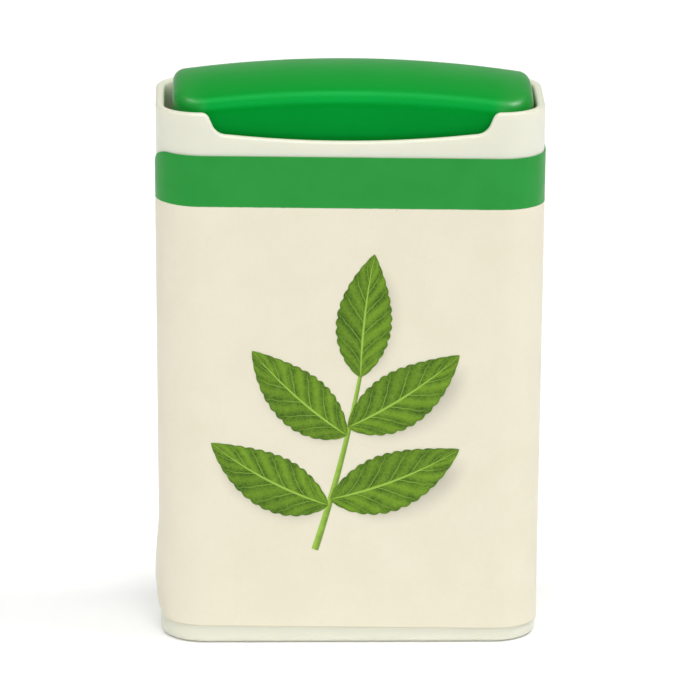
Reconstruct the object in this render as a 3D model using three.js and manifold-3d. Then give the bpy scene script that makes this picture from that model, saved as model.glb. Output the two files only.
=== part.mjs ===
// A pocket dispenser for sweetener tablets, in millimetres.
// Z points up, X runs along the wide front and the front faces -Y.
// The origin is the centre of the underside, where the dispenser stands.
//
// The tablets lie on two ramps that slope down to a slide in the middle. Pressing the button pushes
// the slide, with one tablet in its pocket, out through the floor, and two zigzag springs bring it back.
import * as THREE from "three";
import { LoftGeometry } from "three/addons/geometries/LoftGeometry.js";
import { mergeVertices } from "three/addons/utils/BufferGeometryUtils.js";
import Module from "manifold-3d";

const wasm = await Module();
wasm.setup();

// Housing: a cup with rounded plan corners, a little narrower at its base
const WIDTH = 37; // across X at the rim
const DEPTH = 16.2; // across Y at the rim
const RIM_Z = 52.6;
const CORNER_R = 4.3;
const DRAFT = 0.39; // how much further in each side stands at the base than at the rim
const WALL = 0.82;
const FLOOR_Z = 1.4;
const BASE_FILLET = 0.7;
const CORNER_STEPS = 7;
const REACH = 3; // how far a cutting or trimmed solid runs past what it cuts

// Finger notches in the front and back of the rim, with a bottom that sags in the middle
const NOTCH_HALF = 14.2; // at the rim
const NOTCH_END_DEPTH = 2.16;
const NOTCH_MID_DEPTH = 2.8;
const NOTCH_LIP_R = 0.8; // where the rim turns down into the notch
const NOTCH_TOE_R = 1.5; // where the notch's side meets its bottom
const NOTCH_SLOPE = THREE.MathUtils.degToRad(67); // of the notch's side

// Button: a hollow cap with a top that is crowned both ways, standing a little askew within its play
const BUTTON_HALF_X = 17.13;
const BUTTON_HALF_Y = 6.95;
const BUTTON_CORNER_R = 3.1;
const BUTTON_EDGE_R = 1.05;
const BUTTON_WALL = 0.9;
const BUTTON_TOP = 1.2; // thickness of the crowned top
const BUTTON_SHIFT = 0.24; // to the right, at the rim
const BUTTON_LEAN = 0.5; // to the right, in degrees
const CROWN_Z = 55.77; // top of the crown, in the middle
const CROWN_R = 113; // along X
const CROWN_SIDE_R = 12.7; // across Y
const TRAVEL = 4.5; // of the button and the slide
const STOP_GAP = 0.3; // left at either end of the travel

// Springs, and the ledges that carry them
const LEDGE_Z = 36;
const LEDGE_X = 12.6; // inner edge of a ledge
const LEDGE_HALF_Y = 4;
const SPRING_X = 14.3; // middle of a spring
const SPRING_SWING = 1.25; // its zigzag swings this far to either side
const SPRING_WAVES = 3;
const SPRING_STEPS = 30;
const SPRING_STRIP = 0.5; // thickness of the strip
const SPRING_DEPTH = 6; // its width across Y
const PAD_Z = 52; // underside of the pads that the springs push against

// Slide: a stem with a square block at its foot
const SLIDE_HALF_X = 3;
const SLIDE_HALF_Y = 3.6;
const SLIDE_FOOT_Z = 0.3;
const SLIDE_SHOULDER_Z = 12.5;
const STEM_HALF_X = 1.5;
const SLIDE_TOP_Z = 52.4;
const SLIDE_GAP = 0.25; // slide to the floor's hole, the ribs and the socket
const POCKET_HALF_Y = 2.8;
const POCKET_Z = 1.3;
const POCKET_HEIGHT = 2.6;
const SOCKET_WALL = 1;
const SOCKET_FOOT_Z = 46;
const BARB_Z = 8;
const BARB_HEIGHT = 1.7;
const BARB_OUT = 0.55; // how far a barb stands out of the slide's face
const BARB_HALF_X = 2.5;

// Ribs before and behind the slide, with a stop ledge over its barbs
const RIB_HALF_X = 3.3;
const RIB_INNER_Y = 4.5;
const RIB_Z = 30;
const STOP_Z = BARB_Z + BARB_HEIGHT + STOP_GAP;
const STOP_HEIGHT = 1.5;

// Ramps and tablets
const RAMP_SLOPE = THREE.MathUtils.degToRad(24);
const TABLET_R = 2.5;
const TABLET_THICK = 2;
const TABLET_CHAMFER = 0.3;
const TABLET_SIDES = 14;
const TABLET_GAP = 0.3; // between neighbours
const TABLET_LIFT = 0.05; // between a tablet and what it lies on
const TABLETS_ALONG = 2;
const TABLETS_ACROSS = 2;
const TABLET_LAYERS = 3;

// Label: a thin skin round the housing, which leaves the left side and the back left corner bare
const LABEL_FOOT_Z = 1.65;
const LABEL_TOP_Z = 48.35;
const LABEL_GAP = 0.03; // glue line
const LABEL_THICK = 0.1;
const LABEL_FREE_Y = -3.2; // its free end, just past the front left corner
const LABEL_END_X = -12; // its other end, on the back
const LABEL_CURL = 0.38; // the free end stands off this far
const CURL_Z = 5.6;
const CURL_HALF_HEIGHT = 6.5;
const CURL_LENGTH = 4;

const white = new THREE.MeshStandardMaterial({ color: 0xe6e6da, roughness: 0.45, metalness: 0 });
const green = new THREE.MeshStandardMaterial({ color: 0x059a3d, roughness: 0.35, metalness: 0 });
const natural = new THREE.MeshStandardMaterial({ color: 0xdcdcd0, roughness: 0.5, metalness: 0 });
const printed = new THREE.MeshStandardMaterial({ color: 0xece6d1, roughness: 0.4, metalness: 0 });
const chalk = new THREE.MeshStandardMaterial({ color: 0xf4f3ee, roughness: 0.8, metalness: 0 });

const dispenser = new THREE.Group();

function addMesh(name, geometry, material) {
  const mesh = new THREE.Mesh(geometry, material.clone());
  mesh.name = name;
  dispenser.add(mesh);
}

// The closed geometry as a manifold-3d solid.
function toSolid(geometry) {
  const bare = new THREE.BufferGeometry();
  bare.setAttribute("position", geometry.getAttribute("position"));
  bare.setIndex(geometry.index);
  const merged = mergeVertices(bare, 1e-4);
  const vertProperties = merged.attributes.position.array;
  const triVerts = new Uint32Array(merged.index.array);
  return new wasm.Manifold(new wasm.Mesh({ numProp: 3, vertProperties, triVerts }));
}

function toGeometry(solid) {
  const { vertProperties, triVerts } = solid.getMesh();
  const geometry = new THREE.BufferGeometry();
  geometry.setAttribute("position", new THREE.BufferAttribute(vertProperties, 3));
  geometry.setIndex(new THREE.BufferAttribute(triVerts, 1));
  return geometry;
}

function box(x0, x1, y0, y1, z0, z1) {
  const geometry = new THREE.BoxGeometry(x1 - x0, y1 - y0, z1 - z0);
  geometry.translate((x0 + x1) / 2, (y0 + y1) / 2, (z0 + z1) / 2);
  return toSolid(geometry);
}

// A closed loft through sections of equally many points.
function loft(sections) {
  return toSolid(new LoftGeometry(sections, { closed: true, capStart: true, capEnd: true }));
}

// An outline drawn in X and Z, as a slab of the given half depth about Y = 0.
function slab(outline, halfY) {
  const geometry = new THREE.ExtrudeGeometry(outline, {
    depth: 2 * halfY,
    bevelEnabled: false,
    curveSegments: 6,
  });
  geometry.rotateX(Math.PI / 2);
  geometry.translate(0, halfY, 0);
  return toSolid(geometry);
}

// The same outline turned, so that its first coordinate runs along Y, as a slab about X = 0.
function crossSlab(outline, halfX) {
  return slab(outline, halfX).rotate([0, 0, 90]);
}

function polygon(points) {
  return new THREE.Shape(points.map(([a, b]) => new THREE.Vector2(a, b)));
}

// A rounded rectangle at height z, anticlockwise seen from above, starting on the right.
function planRing(halfX, halfY, radius, z) {
  const ring = [];
  for (let corner = 0; corner < 4; corner++) {
    const centreX = corner === 0 || corner === 3 ? halfX - radius : radius - halfX;
    const centreY = corner < 2 ? halfY - radius : radius - halfY;
    for (let step = 0; step <= CORNER_STEPS; step++) {
      const angle = ((corner + step / CORNER_STEPS) * Math.PI) / 2;
      const x = centreX + radius * Math.cos(angle);
      const y = centreY + radius * Math.sin(angle);
      ring.push(new THREE.Vector3(x, y, z));
    }
  }
  return ring;
}

function draftAt(z) {
  return DRAFT * (1 - z / RIM_Z);
}

// The housing's plan at height z, pulled in by inset from its outer face.
function housingRing(z, inset) {
  const pulled = draftAt(z) + inset;
  return planRing(WIDTH / 2 - pulled, DEPTH / 2 - pulled, CORNER_R - inset, z);
}

function notchOutline() {
  const half = NOTCH_HALF;
  const endZ = RIM_Z - NOTCH_END_DEPTH;
  const sagZ = RIM_Z - 2 * NOTCH_MID_DEPTH + NOTCH_END_DEPTH;
  const arcsDepth = (NOTCH_LIP_R + NOTCH_TOE_R) * (1 - Math.cos(NOTCH_SLOPE));
  const slopeWidth = (NOTCH_END_DEPTH - arcsDepth) / Math.tan(NOTCH_SLOPE);
  const toeX = half - (NOTCH_LIP_R + NOTCH_TOE_R) * Math.sin(NOTCH_SLOPE) - slopeWidth;
  const lipEnd = Math.PI / 2 - NOTCH_SLOPE;
  const outline = new THREE.Shape();
  outline.moveTo(-half, RIM_Z + REACH);
  outline.lineTo(-half, RIM_Z);
  outline.absarc(-half, RIM_Z - NOTCH_LIP_R, NOTCH_LIP_R, Math.PI / 2, lipEnd, true);
  outline.absarc(-toeX, endZ + NOTCH_TOE_R, NOTCH_TOE_R, Math.PI + lipEnd, 1.5 * Math.PI, false);
  outline.quadraticCurveTo(0, sagZ, toeX, endZ);
  outline.absarc(toeX, endZ + NOTCH_TOE_R, NOTCH_TOE_R, 1.5 * Math.PI, 2 * Math.PI - lipEnd, false);
  outline.absarc(half, RIM_Z - NOTCH_LIP_R, NOTCH_LIP_R, Math.PI - lipEnd, Math.PI / 2, true);
  outline.lineTo(half, RIM_Z + REACH);
  return outline;
}

// Everything moulded inside the housing, running out past its walls.
function housingFittings() {
  const holeX = SLIDE_HALF_X + SLIDE_GAP;
  const outX = WIDTH / 2 + REACH;
  const outY = DEPTH / 2 + REACH;
  const rampRise = (outX - holeX) * Math.tan(RAMP_SLOPE);
  const ramp = [[holeX, FLOOR_Z / 2], [outX, FLOOR_Z / 2], [outX, FLOOR_Z + rampRise], [holeX, FLOOR_Z]];
  const ledgeTip = 1.2;
  const ledgeDrop = outX - LEDGE_X + ledgeTip;
  const ledge = [
    [LEDGE_X, LEDGE_Z - ledgeTip],
    [outX, LEDGE_Z - ledgeDrop],
    [outX, LEDGE_Z],
    [LEDGE_X, LEDGE_Z],
  ];
  const rightHalf = slab(polygon(ramp), outY).add(slab(polygon(ledge), LEDGE_HALF_Y));
  const stopInnerY = SLIDE_HALF_Y + SLIDE_GAP;
  const backRib = box(-RIB_HALF_X, RIB_HALF_X, RIB_INNER_Y, outY, FLOOR_Z / 2, RIB_Z).add(
    box(-RIB_HALF_X, RIB_HALF_X, stopInnerY, outY, STOP_Z, STOP_Z + STOP_HEIGHT),
  );
  return rightHalf.add(rightHalf.mirror([1, 0, 0])).add(backRib).add(backRib.mirror([0, 1, 0]));
}

function housing() {
  const shellRings = [];
  const filletSteps = 4;
  for (let step = 0; step <= filletSteps; step++) {
    const angle = (step / filletSteps) * (Math.PI / 2);
    const inset = BASE_FILLET * (1 - Math.sin(angle));
    shellRings.push(housingRing(BASE_FILLET * (1 - Math.cos(angle)), inset));
  }
  shellRings.push(housingRing(RIM_Z, 0));
  const shell = loft(shellRings);
  const hollow = loft([housingRing(FLOOR_Z, WALL), housingRing(RIM_Z + REACH, WALL)]);
  const withinWalls = loft([housingRing(FLOOR_Z / 2, WALL / 2), housingRing(RIM_Z, WALL / 2)]);
  const holeX = SLIDE_HALF_X + SLIDE_GAP;
  const holeY = SLIDE_HALF_Y + SLIDE_GAP;
  return shell
    .subtract(hollow)
    .subtract(slab(notchOutline(), DEPTH / 2 + REACH))
    .add(housingFittings().intersect(withinWalls))
    .subtract(box(-holeX, holeX, -holeY, holeY, -REACH, FLOOR_Z + REACH / 10));
}

function crownAt(x) {
  return CROWN_Z - CROWN_R + Math.sqrt(CROWN_R ** 2 - x ** 2);
}

// The solid, made upright, as it stands in its play: tipped at the height of the rim and set to the right.
function inItsPlay(solid) {
  return solid
    .translate([0, 0, -RIM_Z])
    .rotate([0, BUTTON_LEAN, 0])
    .translate([BUTTON_SHIFT, 0, RIM_Z]);
}

// A block with rounded plan corners and a crowned, round-edged top, lofted along X.
function crownedBlock(halfX, halfY, cornerR, edgeR, footZ, sunk) {
  const straight = halfX - cornerR;
  const stations = [];
  for (let step = 0; step <= CORNER_STEPS; step++) {
    stations.push(straight + cornerR * Math.sin(((step / CORNER_STEPS) * Math.PI) / 2));
  }
  const middle = 10;
  const along = stations.map((x) => -x).reverse();
  for (let step = 1; step < middle; step++) {
    along.push(straight * ((2 * step) / middle - 1));
  }
  along.push(...stations);
  return loft(along.map((x) => {
    const pastStraight = Math.max(0, Math.abs(x) - straight);
    const pastEdge = Math.max(0, Math.abs(x) - (halfX - edgeR));
    const y = halfY - cornerR + Math.sqrt(Math.max(0, cornerR ** 2 - pastStraight ** 2));
    const top = crownAt(x) - sunk - edgeR + Math.sqrt(Math.max(0, edgeR ** 2 - pastEdge ** 2));
    const sideR = CROWN_SIDE_R - sunk;
    const edgeY = y - edgeR;
    const edgeZ = top - sideR + Math.sqrt((sideR - edgeR) ** 2 - edgeY ** 2);
    const shoulder = Math.asin(edgeY / (sideR - edgeR));
    const half = [new THREE.Vector3(x, y, footZ)];
    const edgeSteps = 4;
    for (let step = 0; step <= edgeSteps; step++) {
      const tilt = Math.PI / 2 + ((shoulder - Math.PI / 2) * step) / edgeSteps;
      half.push(new THREE.Vector3(x, edgeY + edgeR * Math.sin(tilt), edgeZ + edgeR * Math.cos(tilt)));
    }
    const sideSteps = 4;
    for (let step = 1; step < sideSteps; step++) {
      const tilt = shoulder * (1 - step / sideSteps);
      half.push(new THREE.Vector3(x, sideR * Math.sin(tilt), top - sideR * (1 - Math.cos(tilt))));
    }
    const otherHalf = half.map((p) => new THREE.Vector3(x, -p.y, p.z)).reverse();
    return [...half, new THREE.Vector3(x, 0, top), ...otherHalf];
  }));
}

function pushButton() {
  const skirtZ = LEDGE_Z + TRAVEL + STOP_GAP;
  const block = inItsPlay(
    crownedBlock(BUTTON_HALF_X, BUTTON_HALF_Y, BUTTON_CORNER_R, BUTTON_EDGE_R, skirtZ, 0),
  );
  const hollow = inItsPlay(
    crownedBlock(
      BUTTON_HALF_X - BUTTON_WALL,
      BUTTON_HALF_Y - BUTTON_WALL,
      BUTTON_CORNER_R - BUTTON_WALL,
      BUTTON_EDGE_R / 2,
      skirtZ - REACH,
      BUTTON_TOP,
    ),
  );
  const padHalf = SPRING_SWING + SPRING_STRIP / 2 + 0.2;
  const pad = box(SPRING_X - padHalf, SPRING_X + padHalf, -SPRING_DEPTH / 2, SPRING_DEPTH / 2, PAD_Z, CROWN_Z);
  const socketX = STEM_HALF_X + SLIDE_GAP;
  const socketY = SLIDE_HALF_Y + SLIDE_GAP;
  const socketOutX = socketX + SOCKET_WALL;
  const socketOutY = socketY + SOCKET_WALL;
  const fittings = box(-socketOutX, socketOutX, -socketOutY, socketOutY, SOCKET_FOOT_Z, CROWN_Z)
    .add(pad)
    .add(pad.mirror([1, 0, 0]))
    .intersect(block);
  return block
    .subtract(hollow)
    .add(fittings)
    .subtract(box(-socketX, socketX, -socketY, socketY, SOCKET_FOOT_Z - REACH, SLIDE_TOP_Z));
}

function dosingSlide() {
  const slopeZ = SLIDE_SHOULDER_Z + SLIDE_HALF_X - STEM_HALF_X;
  const rightEdge = [
    [SLIDE_HALF_X, SLIDE_FOOT_Z],
    [SLIDE_HALF_X, SLIDE_SHOULDER_Z],
    [STEM_HALF_X, slopeZ],
    [STEM_HALF_X, SLIDE_TOP_Z],
  ];
  const outline = [...rightEdge, ...rightEdge.map(([x, z]) => [-x, z]).reverse()];
  const rootY = SLIDE_HALF_Y - BARB_OUT;
  const tipY = SLIDE_HALF_Y + BARB_OUT;
  const barb = crossSlab(
    polygon([
      [rootY, BARB_Z],
      [SLIDE_HALF_Y, BARB_Z],
      [tipY, BARB_Z + BARB_HEIGHT - BARB_OUT],
      [tipY, BARB_Z + BARB_HEIGHT],
      [rootY, BARB_Z + BARB_HEIGHT],
    ]),
    BARB_HALF_X,
  );
  const pocketX = SLIDE_HALF_X + REACH;
  return slab(polygon(outline), SLIDE_HALF_Y)
    .add(barb)
    .add(barb.mirror([0, 1, 0]))
    .subtract(box(-pocketX, pocketX, -POCKET_HALF_Y, POCKET_HALF_Y, POCKET_Z, POCKET_Z + POCKET_HEIGHT));
}

// A strip bent to and fro between the ledge and the button's pad; side is 1 on the right, -1 on the left.
function returnSpring(side) {
  const length = PAD_Z - LEDGE_Z;
  const middles = [];
  for (let step = 0; step <= SPRING_STEPS; step++) {
    const along = step / SPRING_STEPS;
    const swing = SPRING_SWING * Math.cos(2 * Math.PI * SPRING_WAVES * along);
    middles.push(new THREE.Vector2(side * (SPRING_X + swing), LEDGE_Z + length * along));
  }
  const leftEdge = [];
  const rightEdge = [];
  middles.forEach((middle, step) => {
    const before = middles[Math.max(0, step - 1)];
    const after = middles[Math.min(SPRING_STEPS, step + 1)];
    const atEnd = step === 0 || step === SPRING_STEPS;
    const direction = atEnd ? new THREE.Vector2(0, 1) : after.clone().sub(before).normalize();
    const across = new THREE.Vector2(direction.y, -direction.x).multiplyScalar(SPRING_STRIP / 2);
    rightEdge.push(middle.clone().add(across));
    leftEdge.unshift(middle.clone().sub(across));
  });
  return slab(new THREE.Shape([...rightEdge, ...leftEdge]), SPRING_DEPTH / 2);
}

function tablet() {
  const flat = TABLET_R - TABLET_CHAMFER;
  const half = TABLET_THICK / 2;
  const shoulder = half - TABLET_CHAMFER;
  const profile = [[0, -half], [flat, -half], [TABLET_R, -shoulder], [TABLET_R, shoulder], [flat, half], [0, half]];
  const geometry = new THREE.LatheGeometry(profile.map(([r, h]) => new THREE.Vector2(r, h)), TABLET_SIDES);
  geometry.rotateX(Math.PI / 2);
  return geometry;
}

// A tablet of the pile on one ramp: side is 1 on the right ramp, -1 on the left.
function rampTablet(side, along, across, layer) {
  const pitch = 2 * TABLET_R + TABLET_GAP;
  const leanBack = layer * 0.95; // each layer starts further out, clear of the upright slide
  const distance = TABLET_R + 0.75 + leanBack + along * pitch;
  const height = TABLET_THICK / 2 + TABLET_LIFT + layer * (TABLET_THICK + TABLET_LIFT);
  const geometry = tablet();
  geometry.rotateY(-side * RAMP_SLOPE);
  geometry.translate(
    side * (SLIDE_HALF_X + SLIDE_GAP + distance * Math.cos(RAMP_SLOPE) - height * Math.sin(RAMP_SLOPE)),
    (across - (TABLETS_ACROSS - 1) / 2) * (pitch + TABLET_GAP),
    FLOOR_Z + distance * Math.sin(RAMP_SLOPE) + height * Math.cos(RAMP_SLOPE),
  );
  return geometry;
}

// How far the label's free end stands off, by distance from that end and by height.
function curlAt(distance, z) {
  const alongEnd = Math.max(0, 1 - distance / CURL_LENGTH) ** 2;
  const upEnd = Math.max(0, 1 - Math.abs(z - CURL_Z) / CURL_HALF_HEIGHT);
  return LABEL_CURL * alongEnd * upEnd;
}

function label() {
  const perSide = CORNER_STEPS + 1;
  const levels = [LABEL_FOOT_Z, CURL_Z, CURL_Z + CURL_HALF_HEIGHT, LABEL_TOP_Z];
  // One face of the label at one height: its free end, three rounded corners and its other end
  const faceAt = (z, standOff) => {
    const ring = housingRing(z, -standOff);
    const outward = standOff - draftAt(z);
    const freeEnd = new THREE.Vector3(-WIDTH / 2 - outward, LABEL_FREE_Y, z);
    const otherEnd = new THREE.Vector3(LABEL_END_X, DEPTH / 2 + outward, z);
    return [freeEnd, ...ring.slice(2 * perSide), ...ring.slice(0, perSide), otherEnd];
  };
  const inner = levels.map((z) => faceAt(z, LABEL_GAP));
  const outer = levels.map((z) => faceAt(z, LABEL_GAP + LABEL_THICK));
  let distance = 0;
  const sections = inner[0].map((start, k) => {
    distance += k ? start.distanceTo(inner[0][k - 1]) : 0;
    const lifted = (point, facing) => {
      const outward = facing.clone().sub(point).setZ(0).normalize();
      return point.clone().addScaledVector(outward, curlAt(distance, point.z));
    };
    const insidePoints = inner.map((face, level) => lifted(face[k], outer[level][k]));
    const outsidePoints = insidePoints.map((point, level) => {
      return point.clone().add(outer[level][k]).sub(inner[level][k]);
    });
    return [...insidePoints, ...outsidePoints.reverse()];
  });
  return loft(sections);
}

addMesh("housing", toGeometry(housing()), white);
addMesh("push_button", toGeometry(pushButton()), green);
addMesh("dosing_slide", toGeometry(dosingSlide()), natural);
addMesh("return_spring_left", toGeometry(returnSpring(-1)), natural);
addMesh("return_spring_right", toGeometry(returnSpring(1)), natural);
addMesh("label", toGeometry(label()), printed);

const dose = tablet();
dose.translate(0, 0, POCKET_Z + TABLET_LIFT + TABLET_THICK / 2);
addMesh("tablet_in_pocket", dose, chalk);

for (const [sideName, side] of [["left", -1], ["right", 1]]) {
  for (let layer = 0; layer < TABLET_LAYERS; layer++) {
    for (let along = 0; along < TABLETS_ALONG; along++) {
      for (let across = 0; across < TABLETS_ACROSS; across++) {
        const place = layer * TABLETS_ALONG * TABLETS_ACROSS + along * TABLETS_ACROSS + across + 1;
        addMesh(`tablet_${sideName}_${place}`, rampTablet(side, along, across, layer), chalk);
      }
    }
  }
}

export default dispenser;
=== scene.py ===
"""The looks of a pocket dispenser for sweetener tablets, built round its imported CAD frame.

The housing, the push button, the label and the tablets are modelled again here with fine meshes of the
same size. The dosing slide and the springs keep their CAD meshes, and get bevels and a finish.
Lengths are written in millimetres and turned into metres where a mesh or a light is made.
"""

import math

import bpy
import numpy as np
from mathutils import Matrix, Vector


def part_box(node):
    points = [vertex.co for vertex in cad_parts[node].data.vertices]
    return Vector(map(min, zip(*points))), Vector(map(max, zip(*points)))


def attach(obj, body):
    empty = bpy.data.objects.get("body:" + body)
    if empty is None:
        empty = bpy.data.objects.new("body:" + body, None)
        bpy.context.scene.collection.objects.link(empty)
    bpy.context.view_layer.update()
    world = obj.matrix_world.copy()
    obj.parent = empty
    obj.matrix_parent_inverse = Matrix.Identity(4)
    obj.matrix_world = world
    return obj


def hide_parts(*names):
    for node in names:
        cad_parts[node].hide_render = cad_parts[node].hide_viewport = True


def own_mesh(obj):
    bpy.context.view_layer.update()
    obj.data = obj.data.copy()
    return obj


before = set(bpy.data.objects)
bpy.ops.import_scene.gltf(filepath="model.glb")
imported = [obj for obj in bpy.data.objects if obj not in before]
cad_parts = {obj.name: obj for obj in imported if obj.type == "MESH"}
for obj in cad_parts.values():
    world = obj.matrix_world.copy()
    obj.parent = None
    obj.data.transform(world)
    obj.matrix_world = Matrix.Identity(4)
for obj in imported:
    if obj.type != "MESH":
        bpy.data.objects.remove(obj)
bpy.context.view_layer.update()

MM = 0.001
WELD_REACH = 0.0001  # points closer than this are merged


def node_box(name):
    """Lowest and highest corner of a CAD node, in millimetres."""
    low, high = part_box(name)
    return np.array(low) / MM, np.array(high) / MM


# Sizes read from the frame
HALF_X, HALF_Y, RIM_Z = node_box("housing")[1]
LABEL_LOW, LABEL_HIGH = node_box("label")

# Housing
CORNER_R = 4.3
DRAFT = 0.39  # how much further in each side stands at the base than at the rim
WALL = 0.82
FLOOR_Z = 1.4
BASE_FILLET = 0.7
FLOOR_FILLET = 0.5  # between the inner wall and the floor
RIM_ROUND = 0.25  # rounding of the rim's outer edge
RIM_INNER_ROUND = 0.34  # and of its inner edge
CORNER_STEPS = 14
SLOT_HALF_X = 3.25  # the hole in the floor that the dosing slide runs through
SLOT_HALF_Y = 3.85
SLOT_R = 0.25
SLOT_TOP_CHAMFER = 0.1
SLOT_FOOT_CHAMFER = 0.15

# Finger notches
NOTCH_HALF = HALF_X - CORNER_R - 0.04  # at the rim
NOTCH_END_DEPTH = 2.11
NOTCH_MID_DEPTH = 2.74
NOTCH_LIP_R = 0.8
NOTCH_TOE_R = 1.5
NOTCH_SLOPE = 67
NOTCH_BLEND_Z = RIM_Z - 5.5  # below this the mesh columns stand upright

# Button, made upright and then tipped and moved to the right, as it stands in its play
BUTTON_HALF_X = 17.13
BUTTON_HALF_Y = 6.95
BUTTON_CORNER_R = 3.1
BUTTON_END_R = 1.3  # rounding of the cap's edge at its ends
BUTTON_FRONT_R = 2.0  # and along its front and back
BUTTON_WALL = 0.9
BUTTON_TOP = 1.2
BUTTON_FOOT_Z = 40.8
BUTTON_FOOT_R = 0.3  # rounding of the foot's outer edge
BUTTON_FOOT_CHAMFER = 0.2  # of its inner edge
BUTTON_SHIFT = 0.24
BUTTON_LEAN = 0.5
CROWN_Z = 55.71
CROWN_R = 113  # along X
CROWN_SIDE_R = 15  # across Y

# Inside: ramps and ribs round the slide, springs between ledges and pads, and the slide's socket
RAMP_SLOPE = 24
RIB_HALF_X = 3.3
RIB_INNER_Y = 4.5
RIB_Z = 30
STOP_LOW_Z = 10
STOP_HIGH_Z = 11.5
LEDGE_Z = 36
LEDGE_X = 12.6
LEDGE_TIP = 1.2
LEDGE_HALF_Y = 4
SPRING_X = 14.3
PAD_HALF_X = 1.65
PAD_HALF_Y = 3
PAD_Z = 52
SOCKET_HALF_X = 1.75
SOCKET_HALF_Y = 3.85
SOCKET_WALL = 1
SOCKET_FOOT_Z = 46
SOCKET_END_Z = 52.4
SOCKET_OUTER_R = 0.4
SOCKET_INNER_R = 0.15
FITTING_ROUND = 0.15  # rounding of the edges of inner parts
SPRING_ROUND = 0.06

# Tablets
TABLET_SIDES = 40
TABLET_CHAMFER = 0.3  # of the CAD tablets
TABLET_EDGE_R = 0.28

# Label
LABEL_GAP = 0.03
LABEL_THICK = 0.1
LABEL_FREE_Y = -3.2  # the free end, just past the front left corner
LABEL_END_X = -12  # the other end, on the back
LABEL_TILT = -0.0115  # rise of the label's edges for each millimetre of X
LABEL_FREE_R = 3.9  # rounding of the free end's corners
LABEL_END_R = 1.0
LABEL_CURL = 0.38
CURL_Z = 5.8
CURL_HALF_HEIGHT = 6.5
CURL_LENGTH = 4
FREE_BLEND = 6  # length over which the free end's rounded corners draw the mesh columns in
END_BLEND = 3  # the same at the other end
BAND_HEIGHT = 4.95

# Print
UV_LENGTH = 120  # millimetres of label that one unit of its UV map stands for
RIBBON_STEPS = 144
LEAF_TEETH = 13
TOOTH_DEPTH = 0.07  # as a share of the leaf's width
PATCH_TIP = 0.02  # half width of a patch at its tips
SHADOW_SHIFT = (0.7, -1.1)
SHADOW_LENGTH = 1.06  # as a share of the leaf's length
SHADOW_HALF_WIDTH = 0.62  # as a share of the leaf's width
INK_RAISE = 0.012  # how far a printed patch stands over the label
INK_ROOT = 0.03  # how far it reaches down into it

# Camera: where the photograph was taken from, and its lens
CAMERA_DISTANCE = 600
CAMERA_AZIMUTH = -1.336
CAMERA_ELEVATION = 15.707
CAMERA_ROLL = 0.291
CAMERA_TARGET = (0.151, 0, 27.211)
FOCAL_PIXELS = 6215.23
FRAME_PIXELS = 700
SENSOR = 36

# Softboxes: name, place, size and brightness
SOFTBOXES = (
    ("front", (0, -920, 810), 600, 3.5),
    ("overhead", (0, -300, 1200), 600, 5.2),
    ("left", (-540, -120, 1100), 240, 15),
    ("right", (590, -110, 1080), 300, 21),
)
LIGHTS_AIM = (0, 0, 40)
WALL_LIGHT = 0.45  # of the studio's wall behind the dispenser
CEILING_LIGHT = 0.33
FLOOR_REACH = 3000


def srgb(red, green, blue):
    """A colour given as the 0 to 255 values of a screen, as linear RGBA."""
    channels = [c / 255 for c in (red, green, blue)]
    linear = [c / 12.92 if c <= 0.04045 else ((c + 0.055) / 1.055) ** 2.4 for c in channels]
    return (*linear, 1.0)


# ---------------------------------------------------------------- materials

PLASTIC_GRAIN = 0.0015
PLASTIC_GLOW_DEPTH = 0.9
PLASTIC_IOR = 1.49
RUBBED_FROM = 13.2  # from the middle of the button towards its ends
RUBBED_TO = 16.2
CLEAR = (1, 1, 1, 1)
GREEN_SHEEN = (0.04, 1.0, 0.28, 1)
VARNISH_IOR = 1.47
VARNISH_GLOSS = 0.2
PRINT_BLUR = 0.06  # softness of the band's printed edge
LABEL_COLOUR = srgb(234, 228, 208)
LABEL_SHADE = srgb(230, 224, 202)
# painted shade along the label's lower edge
EDGE_SHADE_COLOUR = srgb(196, 192, 166)
SPECK_COLOUR = srgb(120, 110, 90)
BAND_COLOUR = srgb(38, 150, 58)
BAND_SHADE = srgb(34, 146, 54)
LEAF_DARK = srgb(60, 94, 10)
LEAF_MID = srgb(86, 124, 22)
LEAF_LIGHT = srgb(124, 164, 38)
LEAF_VEIN = srgb(158, 194, 76)
STEM_COLOUR = srgb(112, 146, 52)
SHADOW_COLOUR = srgb(150, 148, 136)
TABLET_COLOUR = srgb(246, 245, 240)
TABLET_SHADE = srgb(232, 230, 222)
VEINS_PER_LEAF = 6
VEIN_LEAN = 0.24


def node(tree, kind, inputs=None, **settings):
    """A shader node; inputs maps a socket's name or number to a value or to the output that feeds it."""
    made = tree.nodes.new(kind)
    for name, value in settings.items():
        setattr(made, name, value)
    for name, value in (inputs or {}).items():
        if isinstance(value, bpy.types.NodeSocket):
            tree.links.new(value, made.inputs[name])
        else:
            made.inputs[name].default_value = value
    return made


def calc(tree, operation, first, second=0.0, third=0.0):
    return node(tree, "ShaderNodeMath", {0: first, 1: second, 2: third}, operation=operation).outputs[0]


def ramp(tree, value, low, high, to_low=0.0, to_high=1.0):
    """value from low..high to to_low..to_high, held within them."""
    inputs = {"Value": value, "From Min": low, "From Max": high, "To Min": to_low, "To Max": to_high}
    return node(tree, "ShaderNodeMapRange", inputs, interpolation_type="SMOOTHSTEP").outputs["Result"]


def mix(tree, factor, first, second):
    return node(tree, "ShaderNodeMix", {0: factor, 6: first, 7: second}, data_type="RGBA").outputs[2]


def noise(tree, place, size, detail=3.0, rough=0.55):
    """Noise whose lumps are about size millimetres across."""
    inputs = {"Vector": place, "Scale": 1 / (size * MM), "Detail": detail, "Roughness": rough}
    return node(tree, "ShaderNodeTexNoise", inputs).outputs["Fac"]


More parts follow.
